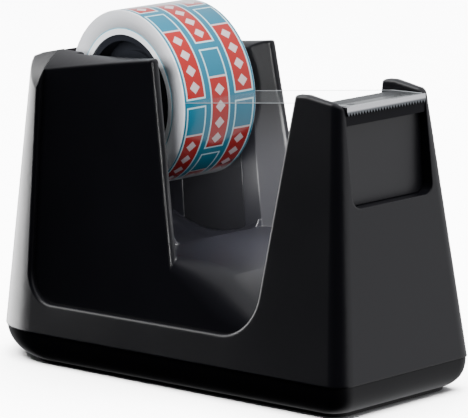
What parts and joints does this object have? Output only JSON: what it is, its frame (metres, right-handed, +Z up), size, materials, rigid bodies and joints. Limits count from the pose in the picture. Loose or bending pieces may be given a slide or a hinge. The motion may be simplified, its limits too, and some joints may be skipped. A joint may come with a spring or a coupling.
{
  "type": "tape dispenser",
  "caption": "Weighted black desk tape dispenser with a small roll of clear tape on a lift-out axle between two towers, and a toothed cutter over a finger recess.",
  "frame": {"origin": "on the resting face, in the middle of the overall length and width", "axes": "+X along the length towards the cutter, +Y to the dispenser's left, +Z up"},
  "size_m": [0.11, 0.0446, 0.0732],
  "materials": {
    "black_shell": "satin",
    "black_base": "fine matt",
    "black_satin": "satin",
    "grip_rubber": "matt, slightly soft",
    "ballast_iron": "as cast",
    "blade_chrome": "bright",
    "screw_steel": "zinc plated",
    "seat_plastic": "smooth",
    "axle_steel": "ground",
    "felt": "pressed felt",
    "clear_tape": "glossy clear film",
    "hub_black": "glossy",
    "core_plastic": "smooth white",
    "label_print": "printed bands in teal, red and white"
  },
  "bodies": {
    "dispenser": {"outer_shell": "black_shell", "roll_cradle": "black_shell", "base_plate": "black_base", "grip_pad": "grip_rubber", "ballast_rear": "ballast_iron", "ballast_front": "ballast_iron", "ballast_plate": "ballast_iron", "cutter_blade": "blade_chrome", "landing_bar": "black_satin", "finger_panel": "black_satin", "blade_pins": "black_satin", "cradle_screws": "screw_steel", "base_screws": "screw_steel", "axle_seat_left": "seat_plastic", "axle_seat_right": "seat_plastic"},
    "axle": {"axle_pin": "axle_steel", "brake_washer_left": "felt", "brake_washer_right": "felt", "tape_tail": "clear_tape"},
    "roll": {"hub_left": "hub_black", "hub_right": "hub_black", "tape_core": "core_plastic", "core_label": "label_print", "tape_winding": "clear_tape"}
  },
  "joints": [
    {"name": "axle_lift", "type": "slide", "parent": "dispenser", "child": "axle", "axis": [0, 0, 1], "range_m": [0, 0.03]},
    {"name": "roll_spin", "type": "hinge", "parent": "axle", "child": "roll", "pos_m": [-0.0134, 0, 0.0552], "axis": [0, 1, 0], "continuous": true}
  ]
}
